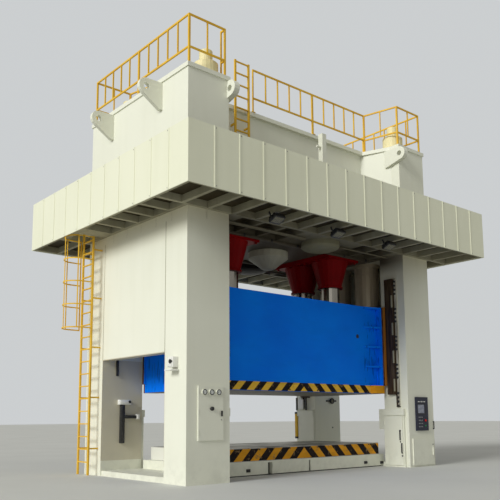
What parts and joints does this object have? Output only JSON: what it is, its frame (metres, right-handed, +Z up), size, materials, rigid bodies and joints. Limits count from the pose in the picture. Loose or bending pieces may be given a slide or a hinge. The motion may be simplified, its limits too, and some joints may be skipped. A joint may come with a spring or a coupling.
{
  "type": "four-column frame hydraulic press",
  "caption": "Large frame hydraulic press: slide on chromed rams over a slotted bolster, deep crown with service platform, guard rails and caged ladder.",
  "frame": {"origin": "on the floor under the centre of the service platform's outline", "axes": "+X to the right of a person who faces the press, -Y towards that person at the front, +Z up, the way the bolster's top faces"},
  "size_m": [10.22, 7.16, 10.1803],
  "materials": {
    "cream_paint": "semi-gloss cream paint on welded plate",
    "bare_steel": "bare machined steel with a film of oil",
    "hazard_orange": "warning stripes in paint",
    "nut_cream": "pale paint",
    "girder_grey": "matt grey paint",
    "safety_yellow": "gloss safety paint",
    "cylinder_red": "gloss dark red paint",
    "hard_chrome": "hard chrome, ground",
    "guide_bronze": "greased, dark brown",
    "slide_blue": "gloss blue paint",
    "black_plastic": "matt black",
    "stop_red": "gloss",
    "start_green": "gloss"
  },
  "bodies": {
    "frame": {"bed": "cream_paint", "column_front_left": "cream_paint", "column_front_right": "cream_paint", "column_rear_left": "cream_paint", "column_rear_right": "cream_paint", "side_panel_left": "cream_paint", "side_panel_right": "cream_paint", "crown": "cream_paint", "skirt_front": "cream_paint", "skirt_rear": "cream_paint", "skirt_left": "cream_paint", "skirt_right": "cream_paint", "standpipe": "cream_paint", "centre_housing": "cream_paint", "bolster": "bare_steel", "return_cylinder_front_left": "bare_steel", "return_cylinder_front_right": "bare_steel", "return_cylinder_rear_left": "bare_steel", "return_cylinder_rear_right": "bare_steel", "bolster_hazard_plate": "hazard_orange", "tie_rod_front_left": "nut_cream", "tie_rod_front_right": "nut_cream", "tie_rod_rear_left": "nut_cream", "tie_rod_rear_right": "nut_cream", "platform_frame": "girder_grey", "platform_deck": "girder_grey", "oil_drum": "girder_grey", "rear_drum": "girder_grey", "guard_rail_left": "safety_yellow", "guard_rail_right": "safety_yellow", "crown_ladder": "safety_yellow", "cat_ladder": "safety_yellow", "ladder_cage": "safety_yellow", "main_cylinder_front_left": "cylinder_red", "main_cylinder_front_right": "cylinder_red", "main_cylinder_rear_left": "cylinder_red", "main_cylinder_rear_right": "cylinder_red", "guide_rail_front_left": "guide_bronze", "guide_rail_front_right": "guide_bronze", "guide_rail_rear_left": "guide_bronze", "guide_rail_rear_right": "guide_bronze", "control_panel": "black_plastic"},
    "slide": {"slide": "slide_blue", "slide_hazard_plate": "hazard_orange", "main_ram_front_left": "hard_chrome", "main_ram_front_right": "hard_chrome", "main_ram_rear_left": "hard_chrome", "main_ram_rear_right": "hard_chrome", "return_rod_front_left": "hard_chrome", "return_rod_front_right": "hard_chrome", "return_rod_rear_left": "hard_chrome", "return_rod_rear_right": "hard_chrome"},
    "gauge_door": {"gauge_door": "cream_paint"},
    "valve_knob": {"valve_knob": "black_plastic"},
    "door_latch": {"door_latch": "black_plastic"},
    "emergency_stop": {"emergency_stop": "stop_red"},
    "start_button": {"start_button": "start_green"},
    "low_door_left": {"low_door_left": "cream_paint"},
    "low_door_right": {"low_door_right": "cream_paint"},
    "column_door": {"column_door": "cream_paint"}
  },
  "joints": [
    {"name": "slide_travel", "type": "slide", "parent": "frame", "child": "slide", "axis": [0, 0, 1], "range_m": [-0.6, 0.4]},
    {"name": "gauge_door_hinge", "type": "hinge", "parent": "frame", "child": "gauge_door", "pos_m": [-3.92, -2.3103, 0.88], "axis": [0, 0, -1], "range_deg": [0, 110]},
    {"name": "valve_knob_turn", "type": "hinge", "parent": "gauge_door", "child": "valve_knob", "pos_m": [-3.585, -2.3106, 1.53], "axis": [0, -1, 0], "range_deg": [-135, 135]},
    {"name": "door_latch_turn", "type": "hinge", "parent": "gauge_door", "child": "door_latch", "pos_m": [-3.325, -2.3106, 1.43], "axis": [0, -1, 0], "range_deg": [0, 90]},
    {"name": "emergency_stop_press", "type": "slide", "parent": "frame", "child": "emergency_stop", "axis": [0, 1, 0], "range_m": [0, 0.006], "stiffness_N_per_m": 1500},
    {"name": "start_button_press", "type": "slide", "parent": "frame", "child": "start_button", "axis": [0, 1, 0], "range_m": [0, 0.004], "stiffness_N_per_m": 900},
    {"name": "low_door_left_hinge", "type": "hinge", "parent": "frame", "child": "low_door_left", "pos_m": [-2.9877, -1.522, 0.05], "axis": [0, 0, 1], "range_deg": [0, 90]},
    {"name": "low_door_right_hinge", "type": "hinge", "parent": "frame", "child": "low_door_right", "pos_m": [2.9877, -1.522, 0.05], "axis": [0, 0, -1], "range_deg": [0, 90]},
    {"name": "column_door_hinge", "type": "hinge", "parent": "frame", "child": "column_door", "pos_m": [3.2, -2.3103, 0.05], "axis": [0, 0, -1], "range_deg": [0, 100]}
  ]
}
